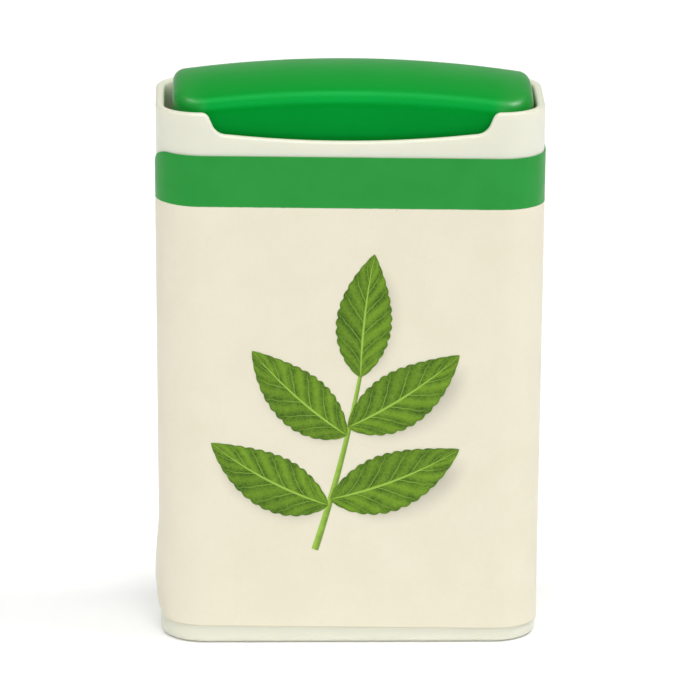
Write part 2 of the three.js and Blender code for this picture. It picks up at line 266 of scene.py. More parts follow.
def bump(tree, height, depth, strength=1.0):
    """A bump whose full height is depth millimetres."""
    inputs = {"Height": height, "Distance": depth * MM, "Strength": strength}
    return node(tree, "ShaderNodeBump", inputs).outputs["Normal"]


def new_material(name):
    made = bpy.data.materials.new(name)
    made.use_nodes = True
    tree = made.node_tree
    shader = tree.nodes["Principled BSDF"]
    place = node(tree, "ShaderNodeTexCoord").outputs["Object"]
    return made, tree, shader, place


def feed(tree, shader, **sockets):
    for name, output in sockets.items():
        tree.links.new(output, shader.inputs[name.replace("_", " ")])


def moulded_plastic(name, colour, deep, roughness, glow=0.12, painted_top_shade=None, tint=None):
    """Injection-moulded polypropylene: an even colour, a soft sheen that varies a little, and a fine grain.

    brim is the colour of painted shade on faces that look up: they are darkened towards it to hold back
    the light from above. tint colours the sheen, but not at the two ends of the button, which fingers have
    rubbed to a clear gloss.
    """
    made, tree, shader, place = new_material(name)
    clouds = noise(tree, place, 9, 2)
    base = mix(tree, ramp(tree, clouds, 0.3, 0.7), colour, deep)
    # Painted shade: faces that look up are darkened, against the stronger light from above.
    if painted_top_shade:
        facing = node(tree, "ShaderNodeTexCoord").outputs["Normal"]
        up = node(tree, "ShaderNodeSeparateXYZ", {0: facing}).outputs[2]
        base = mix(tree, ramp(tree, up, 0.15, 0.85), base, painted_top_shade)
    handled = noise(tree, place, 4.5, 2)
    sheen = ramp(tree, handled, 0.2, 0.8, roughness - 0.02, roughness + 0.03)
    skin = noise(tree, place, 0.16, 2)
    flow = noise(tree, place, 6, 1)
    height = calc(tree, "MULTIPLY_ADD", flow, 2.5, skin)
    feed(tree, shader, Base_Color=base, Roughness=sheen, Normal=bump(tree, height, PLASTIC_GRAIN))
    shader.inputs["Subsurface Weight"].default_value = glow
    shader.inputs["Subsurface Radius"].default_value = (1.0, 0.85, 0.5)
    shader.inputs["Subsurface Scale"].default_value = PLASTIC_GLOW_DEPTH * MM
    shader.inputs["IOR"].default_value = PLASTIC_IOR
    if tint:
        across = node(tree, "ShaderNodeSeparateXYZ", {0: place}).outputs[0]
        rubbed = ramp(tree, calc(tree, "ABSOLUTE", across), RUBBED_FROM * MM, RUBBED_TO * MM)
        feed(tree, shader, Specular_Tint=mix(tree, rubbed, tint, CLEAR))
    return made


def label_stock(tree, place):
    """The unprinted label: warm white, very slightly mottled."""
    mottle = noise(tree, place, 5, 3)
    fibre = noise(tree, place, 0.35, 2)
    tone = calc(tree, "MULTIPLY_ADD", fibre, 0.3, calc(tree, "MULTIPLY", mottle, 0.7))
    return mix(tree, ramp(tree, tone, 0.3, 0.7), LABEL_COLOUR, LABEL_SHADE)


def label_gloss(tree, shader, place):
    """The varnish that label and print share."""
    varnish = noise(tree, place, 1.4, 3)
    feed(
        tree,
        shader,
        Roughness=ramp(tree, varnish, 0.3, 0.7, 0.36, 0.44),
        Normal=bump(tree, noise(tree, place, 0.5, 3), 0.004),
    )
    shader.inputs["IOR"].default_value = VARNISH_IOR
    shader.inputs["Specular IOR Level"].default_value = VARNISH_GLOSS


def specks(tree, place, size, share):
    """A mask of rare dark specks, about size millimetres across."""
    inputs = {"Vector": place, "Scale": 1 / (size * 9 * MM), "Randomness": 1.0}
    cells = node(tree, "ShaderNodeTexVoronoi", inputs)
    near = calc(tree, "LESS_THAN", cells.outputs["Distance"], 0.055)
    chance = node(tree, "ShaderNodeSeparateColor", {"Color": cells.outputs["Color"]}).outputs[0]
    return calc(tree, "MULTIPLY", near, calc(tree, "LESS_THAN", chance, share))


def printed_label():
    """Label stock with a plain green band along its top, and a line of painted shade along its lower edge.
    """
    made, tree, shader, place = new_material("printed_label")
    height = node(tree, "ShaderNodeSeparateXYZ", {0: node(tree, "ShaderNodeUVMap").outputs[0]}).outputs[1]
    edge = (LABEL_HIGH[2] - LABEL_LOW[2] - BAND_HEIGHT) / UV_LENGTH
    blur = PRINT_BLUR / UV_LENGTH
    wobble = calc(tree, "MULTIPLY_ADD", noise(tree, place, 0.6, 2), blur, height)
    in_band = ramp(tree, wobble, edge, edge + blur)
    ink = mix(tree, ramp(tree, noise(tree, place, 4, 3), 0.3, 0.7), BAND_COLOUR, BAND_SHADE)
    stock = mix(tree, specks(tree, place, 0.12, 0.02), label_stock(tree, place), SPECK_COLOUR)
    # Painted shade: a darker line along the label's lower edge, where the sheet's thickness stands off the
    # housing.
    edge_shade = ramp(tree, height, 0.02 / UV_LENGTH, 0.14 / UV_LENGTH, 0.6, 0.0)
    stock = mix(tree, edge_shade, stock, EDGE_SHADE_COLOUR)
    feed(tree, shader, Base_Color=mix(tree, in_band, stock, ink))
    label_gloss(tree, shader, place)
    return made


def printed_leaf():
    """Leaf print: darker and lighter greens, with a pale midrib, side veins and a fine net between them."""
    made, tree, shader, place = new_material("printed_leaf")
    uv = node(tree, "ShaderNodeSeparateXYZ", {0: node(tree, "ShaderNodeUVMap").outputs[0]})
    along = uv.outputs[0]
    side = calc(tree, "MULTIPLY_ADD", uv.outputs[1], 2.0, -1.0)
    out = calc(tree, "ABSOLUTE", side)
    upper = calc(tree, "GREATER_THAN", side, 0.0)
    slant = calc(tree, "MULTIPLY_ADD", calc(tree, "POWER", out, 0.8), -VEIN_LEAN, along)
    phase = calc(tree, "MULTIPLY_ADD", upper, 0.45, calc(tree, "MULTIPLY", slant, VEINS_PER_LEAF))
    from_vein = calc(tree, "PINGPONG", phase, 0.5)
    side_vein = ramp(tree, from_vein, 0.015, 0.05, 1.0, 0.0)
    faint = calc(tree, "MULTIPLY_ADD", out, -0.45, 0.65)
    rib_width = calc(tree, "MULTIPLY_ADD", along, -0.03, 0.05)
    midrib = calc(tree, "LESS_THAN", out, rib_width)
    net_inputs = {"Vector": place, "Scale": 1 / (0.42 * MM), "Randomness": 0.9}
    net = node(tree, "ShaderNodeTexVoronoi", net_inputs, feature="DISTANCE_TO_EDGE").outputs["Distance"]
    fine = ramp(tree, net, 0.02, 0.10, 0.16, 0.0)
    clouds = noise(tree, place, 1.6, 4)
    body = mix(tree, ramp(tree, clouds, 0.38, 0.62), LEAF_DARK, LEAF_MID)
    swell = ramp(tree, from_vein, 0.05, 0.5, 0.0, 0.65)
    body = mix(tree, swell, body, LEAF_LIGHT)
    half_tone = calc(tree, "MULTIPLY", upper, 0.28)
    body = mix(tree, half_tone, body, LEAF_DARK)
    body = mix(tree, ramp(tree, out, 0.86, 1.0, 0.0, 0.5), body, LEAF_DARK)
    veins = calc(tree, "MAXIMUM", calc(tree, "MULTIPLY", side_vein, faint), fine)
    veins = calc(tree, "MAXIMUM", veins, calc(tree, "MULTIPLY", midrib, 0.9))
    feed(tree, shader, Base_Color=mix(tree, veins, body, LEAF_VEIN))
    label_gloss(tree, shader, place)
    return made


def printed_stem():
    """Stem print: pale green, lighter along one side."""
    made, tree, shader, place = new_material("printed_stem")
    across = node(tree, "ShaderNodeSeparateXYZ", {0: node(tree, "ShaderNodeUVMap").outputs[0]}).outputs[1]
    tone = calc(tree, "MULTIPLY_ADD", noise(tree, place, 0.8, 3), 0.5, calc(tree, "MULTIPLY", across, 0.6))
    feed(tree, shader, Base_Color=mix(tree, ramp(tree, tone, 0.25, 0.8), STEM_COLOUR, LEAF_VEIN))
    label_gloss(tree, shader, place)
    return made


def printed_shadow():
    """The soft grey shadow printed under the leaves: it fades into the bare label towards its edge."""
    made, tree, shader, place = new_material("printed_shadow")
    uv = node(tree, "ShaderNodeSeparateXYZ", {0: node(tree, "ShaderNodeUVMap").outputs[0]})
    out = calc(tree, "ABSOLUTE", calc(tree, "MULTIPLY_ADD", uv.outputs[1], 2.0, -1.0))
    ends = calc(tree, "PINGPONG", uv.outputs[0], 0.5)
    depth = calc(tree, "MULTIPLY", ramp(tree, out, 0.1, 0.98, 1.0, 0.0), ramp(tree, ends, 0.01, 0.3))
    shade = calc(tree, "MULTIPLY", depth, 0.5)
    feed(tree, shader, Base_Color=mix(tree, shade, label_stock(tree, place), SHADOW_COLOUR))
    label_gloss(tree, shader, place)
    return made


def pressed_tablet():
    """A pressed tablet: chalky white with fine grains and pores."""
    made, tree, shader, place = new_material("pressed_tablet")
    grains = noise(tree, place, 0.35, 4, 0.7)
    base = mix(tree, ramp(tree, grains, 0.3, 0.75), TABLET_SHADE, TABLET_COLOUR)
    feed(tree, shader, Base_Color=base, Normal=bump(tree, grains, 0.05, 0.6))
    shader.inputs["Roughness"].default_value = 0.85
    shader.inputs["Subsurface Weight"].default_value = 0.2
    shader.inputs["Subsurface Scale"].default_value = 0.5 * MM
    return made


def floor_paper():
    """The plain pale paper that the dispenser stands on."""
    made, tree, shader, place = new_material("floor_paper")
    tone = noise(tree, place, 60, 2)
    feed(tree, shader, Base_Color=mix(tree, tone, srgb(240, 240, 239), srgb(242, 242, 241)))
    shader.inputs["Roughness"].default_value = 0.9
    shader.inputs["Emission Color"].default_value = (1, 1, 1, 1)
    shader.inputs["Emission Strength"].default_value = 0.1
    return made


# The white plastic gets painted shade on faces that look up.
WHITE_PLASTIC = moulded_plastic(
    "white_plastic", srgb(229, 229, 213), srgb(227, 227, 210), 0.36, glow=0.3, painted_top_shade=srgb(206, 206, 187)
)
GREEN_PLASTIC = moulded_plastic(
    "green_plastic", srgb(0, 136, 38), srgb(0, 133, 36), 0.34, glow=0.04, tint=GREEN_SHEEN
)
NATURAL_PLASTIC = moulded_plastic("natural_plastic", srgb(226, 226, 214), srgb(222, 222, 209), 0.42)
PRINTED_LABEL = printed_label()
PRINTED_LEAF = printed_leaf()
PRINTED_STEM = printed_stem()
PRINTED_SHADOW = printed_shadow()
PRESSED_TABLET = pressed_tablet()


# ---------------------------------------------------------------- meshes


def mesh_piece(name, points, faces, material, body=None, uv=None, sharp=40):
    """A piece from points in millimetres. uv holds one pair for each point."""
    mesh = bpy.data.meshes.new(name)
    mesh.from_pydata((np.asarray(points) * MM).tolist(), [], faces)
    mesh.materials.append(material)
    if uv is not None:
        layer = mesh.uv_layers.new(name="UVMap")
        corners = np.empty(len(mesh.loops), dtype=np.int32)
        mesh.loops.foreach_get("vertex_index", corners)
        layer.data.foreach_set("uv", np.asarray(uv)[corners].ravel())
    mesh.shade_smooth()
    mesh.set_sharp_from_angle(angle=math.radians(sharp))
    piece = bpy.data.objects.new(name, mesh)
    bpy.context.scene.collection.objects.link(piece)
    if body:
        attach(piece, body)
    return piece


def grid_faces(rows, columns, wrap_rows=False, wrap_columns=False, start=0):
    """Quads of a grid of points stored row by row; the grid's normal is columns x rows."""
    faces = []
    for row in range(rows if wrap_rows else rows - 1):
        for column in range(columns if wrap_columns else columns - 1):
            here = start + row * columns + column
            right = start + row * columns + (column + 1) % columns
            over = (row + 1) % rows * columns
            faces.append((here, right, start + over + (column + 1) % columns, start + over + column))
    return faces


def weld(piece):
    """Merges the points that meet."""
    merge = piece.modifiers.new("weld", "WELD")
    merge.merge_threshold = WELD_REACH * MM


def soften_edges(piece, width):
    """Rounds a piece's edges by width millimetres."""
    rounded = piece.modifiers.new("edges", "BEVEL")
    rounded.width = width * MM
    rounded.segments = 2
    rounded.limit_method = "ANGLE"
    rounded.angle_limit = math.radians(40)
    rounded.harden_normals = True


class Plan:
    """Points round a rounded rectangle, anticlockwise from the left end of the front.

    Each has a place along its side, from -1 to 1 on both axes, and an outward normal, so that the same
    points fit a rectangle of any size, corner radius and inset.
    """

    def __init__(self, front, side):
        """front and side are places from -1 to 1 along a front and along a side."""
        quarter = np.arange(1, CORNER_STEPS) / CORNER_STEPS * math.pi / 2
        place, normal = [], []
        runs = [
            [(t, -1) for t in front],
            [(1, t) for t in side],
            [(-t, 1) for t in front],
            [(-1, -t) for t in side],
        ]
        for turn, run in enumerate(runs):
            angle = (turn - 1) * math.pi / 2
            place += run
            normal += [(math.cos(angle), math.sin(angle))] * len(run)
            place += [run[-1]] * len(quarter)
            normal += [(math.cos(angle + q), math.sin(angle + q)) for q in quarter]
        self.place = np.array(place, float)
        self.normal = np.array(normal, float)

    def ring(self, half_x, half_y, radius, inset=0.0):
        """The points at an inset from the outline, which may be one for each point."""
        core = np.array([half_x - radius, half_y - radius])
        return self.place * core + (radius - np.reshape(inset, (-1, 1))) * self.normal


def drafted(z):
    """How far the housing's outer face stands in at height z."""
    return DRAFT * (1 - z / RIM_Z)


def arc(centre, radius, start, end, steps):
    angles = np.radians(np.linspace(start, end, steps + 1))
    return [(centre[0] + radius * math.cos(a), centre[1] + radius * math.sin(a)) for a in angles]


def notch_edge():
    """The rim's edge from the middle of the front to the corner: points (x, z) and outward normals."""
    slope = math.radians(NOTCH_SLOPE)
    foot_z = RIM_Z - NOTCH_END_DEPTH
    arcs_depth = (NOTCH_LIP_R + NOTCH_TOE_R) * (1 - math.cos(slope))
    arcs_width = (NOTCH_LIP_R + NOTCH_TOE_R) * math.sin(slope)
    toe_x = NOTCH_HALF - arcs_width - (NOTCH_END_DEPTH - arcs_depth) / math.tan(slope)
    toe = (toe_x, foot_z + NOTCH_TOE_R)
    lip = (NOTCH_HALF, RIM_Z - NOTCH_LIP_R)
    sag = NOTCH_MID_DEPTH - NOTCH_END_DEPTH
    points, normals = [], []
    for x in np.linspace(0, toe_x, 26)[:-1]:
        points.append((x, foot_z - sag * (1 - (x / toe_x) ** 2)))
        rise = 2 * sag * x / toe_x**2
        normals.append((-rise / math.hypot(rise, 1), 1 / math.hypot(rise, 1)))
    start = 270 + math.degrees(math.atan(2 * sag / toe_x))
    for x, z in arc(toe, NOTCH_TOE_R, start, 270 + NOTCH_SLOPE, 10):
        points.append((x, z))
        normals.append(((toe[0] - x) / NOTCH_TOE_R, (toe[1] - z) / NOTCH_TOE_R))
    for x, z in arc(lip, NOTCH_LIP_R, 90 + NOTCH_SLOPE, 90, 8):
        points.append((x, z))
        normals.append(((x - lip[0]) / NOTCH_LIP_R, (z - lip[1]) / NOTCH_LIP_R))
    return np.array(points), np.array(normals)


def housing_shell():
    """The white cup: one closed mesh, up the outside, over the rim and down to the slot in the floor."""
    half_points, half_normals = notch_edge()
    mirror = np.array([-1, 1])
    edge = np.vstack([half_points[:0:-1] * mirror, half_points])
    edge_normal = np.vstack([half_normals[:0:-1] * mirror, half_normals])
    lengths = np.hypot(*np.diff(edge, axis=0).T)
    travelled = np.concatenate([[0], np.cumsum(lengths)])
    even = travelled / travelled[-1] * 2 - 1
    sides = np.linspace(-1, 1, 7)
    plan = Plan(even, sides)
    count = len(plan.place)
    straight = HALF_X - CORNER_R
    on_front = np.arange(count) < len(edge)
    back_start = len(edge) + len(sides) + 2 * (CORNER_STEPS - 1)
    on_back = (np.arange(count) >= back_start) & (np.arange(count) < back_start + len(edge))
    notched = on_front | on_back

    top_x = plan.place[:, 0] * straight
    top_z = np.full(count, RIM_Z)
    lean = np.tile([0.0, 1.0], (count, 1))
    for mask, turn in ((on_front, 1), (on_back, -1)):
        top_x[mask] = edge[:, 0] * turn
        top_z[mask] = edge[:, 1]
        lean[mask] = edge_normal * np.array([turn, 1])

    def row(z, inset, share=0.0, sink=0.0):
        """A ring at height z, or moved by share to the rim's edge and sunk from it along its normal."""
        x_low = plan.place[:, 0] * straight
        x_edge = top_x - sink * lean[:, 0]
        z_edge = top_z - sink * lean[:, 1]
        x = x_low + (x_edge - x_low) * share
        height = z + (z_edge - z) * share
        pulled = drafted(height)
        core_x = HALF_X - CORNER_R - pulled
        core_y = HALF_Y - CORNER_R - pulled
        place_x = np.where(notched, x / straight, plan.place[:, 0])
        return np.column_stack([
            place_x * core_x + (CORNER_R - inset) * plan.normal[:, 0],
            plan.place[:, 1] * core_y + (CORNER_R - inset) * plan.normal[:, 1],
            height,
        ])

    def slot_row(z, widen=0.0):
        ring = plan.ring(SLOT_HALF_X + widen, SLOT_HALF_Y + widen, SLOT_R + widen)
        return np.column_stack([ring, np.full(count, z)])

    rows = []
    for turn in np.radians(np.linspace(0, 90, 7)):
        rows.append(row(BASE_FILLET * (1 - math.cos(turn)), BASE_FILLET * (1 - math.sin(turn))))
    for z in (1.0, 2, 8, 16, 24, 32, 40, NOTCH_BLEND_Z):
        rows.append(row(z, 0))
    for share in (0.25, 0.5, 0.75, 0.9, 1):
        rows.append(row(NOTCH_BLEND_Z, 0, share, RIM_ROUND * share))
    rounding = np.radians(np.linspace(0, 90, 6))[1:]
    for turn in rounding:
        rows.append(row(RIM_Z, RIM_ROUND * (1 - math.cos(turn)), 1, RIM_ROUND * (1 - math.sin(turn))))
    rows.append(row(RIM_Z, (WALL + RIM_ROUND - RIM_INNER_ROUND) / 2, 1, 0))
    for turn in rounding[::-1]:
        inset = WALL - RIM_INNER_ROUND * (1 - math.cos(turn))
        rows.append(row(RIM_Z, inset, 1, RIM_INNER_ROUND * (1 - math.sin(turn))))
    for share in (1, 0.9, 0.75, 0.5, 0.25, 0):
        rows.append(row(NOTCH_BLEND_Z, WALL, share, RIM_INNER_ROUND * share))
    for z in (40, 32, 24, 16, 8, 3, FLOOR_Z + FLOOR_FILLET):
        rows.append(row(z, WALL))
    for turn in np.radians(np.linspace(15, 90, 4)):
        rise = FLOOR_FILLET * (1 - math.sin(turn))
        rows.append(row(FLOOR_Z + rise, WALL + FLOOR_FILLET * (1 - math.cos(turn))))
    rows.append(slot_row(FLOOR_Z, SLOT_TOP_CHAMFER))
    rows.append(slot_row(FLOOR_Z - SLOT_TOP_CHAMFER))
    rows.append(slot_row(SLOT_FOOT_CHAMFER))
    rows.append(slot_row(0.0, SLOT_FOOT_CHAMFER))
    faces = grid_faces(len(rows), count, wrap_rows=True, wrap_columns=True)
    shell = mesh_piece("housing_shell", np.vstack(rows), faces, WHITE_PLASTIC, sharp=50)
    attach(shell, "shell")
    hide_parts("housing")


def crown_at(x, y):
    """Height of the button's top, which is crowned along X and more strongly across Y."""
    along = CROWN_R - np.sqrt(CROWN_R**2 - x**2)
    across = CROWN_SIDE_R - np.sqrt(CROWN_SIDE_R**2 - y**2)
    return CROWN_Z - along - across


def crown_tilt(x, y, normal):
    """Angle by which the top falls towards an outline point, along that point's outward normal."""
    fall = x / np.sqrt(CROWN_R**2 - x**2) * normal[:, 0]
    fall += y / np.sqrt(CROWN_SIDE_R**2 - y**2) * normal[:, 1]
    return np.arctan(fall)


def in_its_play(points):
    """Points of the upright button, tipped at the height of the rim and set to the right."""
    lean = math.radians(BUTTON_LEAN)
    x, y, z = points[:, 0], points[:, 1], points[:, 2] - RIM_Z
    tipped_x = x * math.cos(lean) + z * math.sin(lean) + BUTTON_SHIFT
    tipped_z = z * math.cos(lean) - x * math.sin(lean) + RIM_Z
    return np.column_stack([tipped_x, y, tipped_z])


def button_cap():
    """The green cap: a crowned top whose edge rolls over into straight sides, and a hollow under it."""
    end_turn = math.pi / 2 * 0.9
    denser_at_ends = np.sin(np.linspace(-1, 1, 49) * end_turn) / math.sin(end_turn)
    plan = Plan(denser_at_ends, np.linspace(-1, 1, 13))

    def outline(inset):
        return plan.ring(BUTTON_HALF_X, BUTTON_HALF_Y, BUTTON_CORNER_R, inset)

    def level_ring(inset, z):
        flat = outline(inset)
        return np.column_stack([flat, np.full(len(flat), z)])

    def edge_rings(inset, radius, sunk, steps):
        """Rings round the rolled edge, from the side up to the crown, and how far in the last one lies."""
        near = outline(inset + radius / 2)
        tilt = crown_tilt(near[:, 0], near[:, 1], plan.normal)
        reach = inset + radius * (1 - np.sin(tilt))
        start = outline(reach)
        start_z = crown_at(start[:, 0], start[:, 1]) - sunk
        rings = []
        for share in np.linspace(0, 1, steps):
            turn = math.pi / 2 + (tilt - math.pi / 2) * share
            flat = outline(inset + radius * (1 - np.sin(turn)))
            rings.append(np.column_stack([flat, start_z - radius * (np.cos(tilt) - np.cos(turn))]))
        return rings, reach

    def crown_ring(inset, share, sunk):
        """A ring moved by share from the inset outline to the line that the top's middle is."""
        flat = outline(inset)
        reach = BUTTON_HALF_X - BUTTON_HALF_Y
        spine = np.column_stack([np.clip(flat[:, 0], -reach, reach), np.zeros(len(flat))])
        moved = flat + (spine - flat) * share
        return np.column_stack([moved, crown_at(moved[:, 0], moved[:, 1]) - sunk])

    rows = []
    for turn in np.radians(np.linspace(0, 90, 5)):
        rise = BUTTON_FOOT_R * (1 - math.cos(turn))
        rows.append(level_ring(BUTTON_FOOT_R * (1 - math.sin(turn)), BUTTON_FOOT_Z + rise))
    for z in np.linspace(BUTTON_FOOT_Z + 1.5, 50, 6):
        rows.append(level_ring(0, z))
    rounding = BUTTON_END_R + (BUTTON_FRONT_R - BUTTON_END_R) * plan.normal[:, 1] ** 2
    edge, edge_reach = edge_rings(0, rounding, 0, 13)
    rows += edge
    for share in np.linspace(0, 1, 15)[1:]:
        rows.append(crown_ring(edge_reach, share, 0))
    outside = len(rows)
    hollow_edge, hollow_reach = edge_rings(BUTTON_WALL, BUTTON_END_R / 2, BUTTON_TOP, 5)
    for share in np.linspace(1, 0, 6)[:-1]:
        rows.append(crown_ring(hollow_reach, share, BUTTON_TOP))
    rows += hollow_edge[::-1]
    rows.append(level_ring(BUTTON_WALL, 48))
    rows.append(level_ring(BUTTON_WALL, BUTTON_FOOT_Z + BUTTON_FOOT_R))
    rows.append(level_ring(BUTTON_WALL - BUTTON_FOOT_CHAMFER, BUTTON_FOOT_Z))
    count = len(plan.place)
    faces = grid_faces(outside, count, wrap_columns=True)
    faces += grid_faces(len(rows) - outside, count, wrap_columns=True, start=outside * count)
    last = (len(rows) - 1) * count
    faces += [(last + k, last + (k + 1) % count, (k + 1) % count, k) for k in range(count)]
    cap = mesh_piece("push_button_cap", in_its_play(np.vstack(rows)), faces, GREEN_PLASTIC, sharp=60)
    weld(cap)
    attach(cap, "button")
    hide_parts("push_button")


def prism(name, outline, low, high, material, body, along_x=False):
    """A prism with softened edges: an outline in X and Z run along Y, or one in Y and Z run along X."""
    count = len(outline)
    if along_x:
        points = [(run, y, z) for run in (high, low) for y, z in outline]
    else:
        points = [(x, run, z) for run in (low, high) for x, z in outline]
    faces = [tuple(range(count)), tuple(range(2 * count - 1, count - 1, -1))]
    for here in range(count):
        following = (here + 1) % count
        faces.append((following, here, here + count, following + count))
    piece = mesh_piece(name, points, faces, material, body)
    soften_edges(piece, FITTING_ROUND)
    return piece


def housing_fittings():
    """What is moulded inside the housing: ramps, spring ledges, and ribs with stops by the slide."""
    wall_x = HALF_X - drafted(0) - WALL / 2
    wall_y = HALF_Y - drafted(0) - WALL / 2
    ring = Plan(np.linspace(-1, 1, 3), np.linspace(-1, 1, 3)).ring(wall_x, wall_y, CORNER_R - WALL / 2)
    right_half = [tuple(point) for point in ring if point[0] > SLOT_HALF_X]
    plan = [(SLOT_HALF_X, -wall_y), *right_half, (SLOT_HALF_X, wall_y)]
    ledge = [
        (LEDGE_X, LEDGE_Z - LEDGE_TIP),
        (wall_x, LEDGE_Z - LEDGE_TIP - wall_x + LEDGE_X),
        (wall_x, LEDGE_Z),
        (LEDGE_X, LEDGE_Z),
    ]
    rib = [
        (RIB_INNER_Y, FLOOR_Z / 2),
        (wall_y, FLOOR_Z / 2),
        (wall_y, RIB_Z),
        (RIB_INNER_Y, RIB_Z),
        (RIB_INNER_Y, STOP_HIGH_Z),
        (SLOT_HALF_Y, STOP_HIGH_Z),
        (SLOT_HALF_Y, STOP_LOW_Z),
        (RIB_INNER_Y, STOP_LOW_Z),
    ]
    count = len(plan)
    for side, turn in (("right", 1), ("left", -1)):
        foot = [(x * turn, y * turn, FLOOR_Z / 2) for x, y in plan]
        slope = math.tan(math.radians(RAMP_SLOPE))
        top = [(x * turn, y * turn, FLOOR_Z + (x - SLOT_HALF_X) * slope) for x, y in plan]
        faces = [tuple(range(count - 1, -1, -1)), tuple(range(count, 2 * count))]
        faces += grid_faces(2, count, wrap_columns=True)
        ramp = mesh_piece(f"ramp_{side}", foot + top, faces, WHITE_PLASTIC, "shell")
        mirrored = [(x * turn, z) for x, z in ledge][::turn]
        shelf = prism(f"ledge_{side}", mirrored, -LEDGE_HALF_Y, LEDGE_HALF_Y, WHITE_PLASTIC, "shell")
        turned = [(y * turn, z) for y, z in rib][::turn]
        name = "rib_back" if turn == 1 else "rib_front"
        guide = prism(name, turned, -RIB_HALF_X, RIB_HALF_X, WHITE_PLASTIC, "shell", along_x=True)


def button_fittings():
    """What is moulded under the button's top: a pad over each spring, and the slide's socket."""
    pad_top = float(crown_at(SPRING_X, PAD_HALF_Y)) - BUTTON_TOP / 2
    for side, centre in (("right", SPRING_X), ("left", -SPRING_X)):
        low, high = centre - PAD_HALF_X, centre + PAD_HALF_X
        outline = [(low, PAD_Z), (high, PAD_Z), (high, pad_top), (low, pad_top)]
        pad = prism(f"spring_pad_{side}", outline, -PAD_HALF_Y, PAD_HALF_Y, GREEN_PLASTIC, "button")
    plan = Plan(np.linspace(-1, 1, 3), np.linspace(-1, 1, 3))
    outer = plan.ring(SOCKET_HALF_X + SOCKET_WALL, SOCKET_HALF_Y + SOCKET_WALL, SOCKET_OUTER_R)
    inner = plan.ring(SOCKET_HALF_X, SOCKET_HALF_Y, SOCKET_INNER_R)
    count = len(outer)
    top = crown_at(outer[:, 0], outer[:, 1]) - BUTTON_TOP / 2
    rows = [(inner, SOCKET_END_Z), (inner, SOCKET_FOOT_Z), (outer, SOCKET_FOOT_Z), (outer, top)]
    points = np.vstack([np.column_stack([ring, np.broadcast_to(z, count)]) for ring, z in rows])
    faces = grid_faces(4, count, wrap_columns=True)
    faces += [tuple(range(count - 1, -1, -1)), tuple(range(3 * count, 4 * count))]
    socket = mesh_piece("slide_socket", points, faces, GREEN_PLASTIC, "button")


def skin_plan():
    """Places, normals and lengths round the housing at its rim, from the label's free end anticlockwise."""
    front = np.linspace(-1, 1, 121)
    side = np.linspace(-1, 1, 25)
    plan = Plan(front, side)
    straight = np.array([HALF_X - CORNER_R, HALF_Y - CORNER_R])
    corner = CORNER_STEPS - 1
    back_start = len(front) + len(side) + 2 * corner
    before_back = np.arange(len(plan.place)) < back_start
    on_back = (plan.normal[:, 1] == 1) & (plan.place[:, 0] * straight[0] > LABEL_END_X)
    keep = before_back | on_back
    free_end = [-1, LABEL_FREE_Y / straight[1]]
    other_end = [LABEL_END_X / straight[0], 1]
    place = np.vstack([free_end, [-1, -1], plan.place[-corner:], plan.place[keep], other_end])
    normal = np.vstack([[-1, 0], [-1, 0], plan.normal[-corner:], plan.normal[keep], [0, 1]])
    ring = place * straight + CORNER_R * normal
    length = np.concatenate([[0], np.cumsum(np.hypot(*np.diff(ring, axis=0).T))])
    return place, normal, length


SKIN_PLACE, SKIN_NORMAL, SKIN_LENGTH = skin_plan()
FRONT_START = float(SKIN_LENGTH[np.flatnonzero(SKIN_NORMAL[:, 1] == -1)[0]])


def on_skin(along, z, off):
    """Points off millimetres outside the housing, at a length along the label and a height."""
    place = np.column_stack([np.interp(along, SKIN_LENGTH, SKIN_PLACE[:, k]) for k in (0, 1)])
    normal = np.column_stack([np.interp(along, SKIN_LENGTH, SKIN_NORMAL[:, k]) for k in (0, 1)])
    normal /= np.linalg.norm(normal, axis=1)[:, None]
    pulled = drafted(z)[:, None]
    core = np.array([HALF_X - CORNER_R, HALF_Y - CORNER_R]) - pulled
    flat = place * core + (CORNER_R + off)[:, None] * normal
    return np.column_stack([flat, z])


def curl(along, z):
    """How far the label's free end stands off the housing."""
    from_end = np.clip(1 - along / CURL_LENGTH, 0, 1) ** 2
    upright = np.clip(1 - np.abs(z - CURL_Z) / CURL_HALF_HEIGHT, 0, 1)
    return LABEL_CURL * from_end * (3 * upright**2 - 2 * upright**3)


def tilted(z, x):
    """Height z of the level label, once the label is put on a little askew."""
    return z + LABEL_TILT * x


def wrap_label():
    """The label: a thin skin round the housing, a little askew, with rounded ends, the free one lifting."""
    foot, top = LABEL_LOW[2], LABEL_HIGH[2]
    corner = np.sin(np.linspace(0, 1, 13) * math.pi / 2)
    heights = np.concatenate([
        foot + LABEL_FREE_R * (1 - corner[::-1]),
        np.linspace(foot + LABEL_FREE_R, top - LABEL_FREE_R, 60)[1:-1],
        top - LABEL_FREE_R * (1 - corner),
    ])
    total = SKIN_LENGTH[-1]

    def cut_back(z, radius):
        """How far rounded corners take an end back at height z."""
        within = max(radius - (z - foot), radius - (top - z), 0)
        return radius - math.sqrt(max(radius**2 - within**2, 0))

    front_rows, back_rows, uv = [], [], []
    for z in heights:
        free = cut_back(z, LABEL_FREE_R) * np.clip(1 - SKIN_LENGTH / FREE_BLEND, 0, 1)
        other = cut_back(z, LABEL_END_R) * np.clip(1 - (total - SKIN_LENGTH) / END_BLEND, 0, 1)
        along = SKIN_LENGTH + free - other
        level = np.full(len(along), z)
        stand = curl(along, level)
        for rows, off in ((front_rows, LABEL_GAP + LABEL_THICK), (back_rows, LABEL_GAP)):
            points = on_skin(along, level, stand + off)
            points[:, 2] = tilted(points[:, 2], points[:, 0])
            rows.append(points)
        uv.append(np.column_stack([along, level - foot]) / UV_LENGTH)
    return closed_sheet("wrap_label", front_rows, back_rows, uv, PRINTED_LABEL)


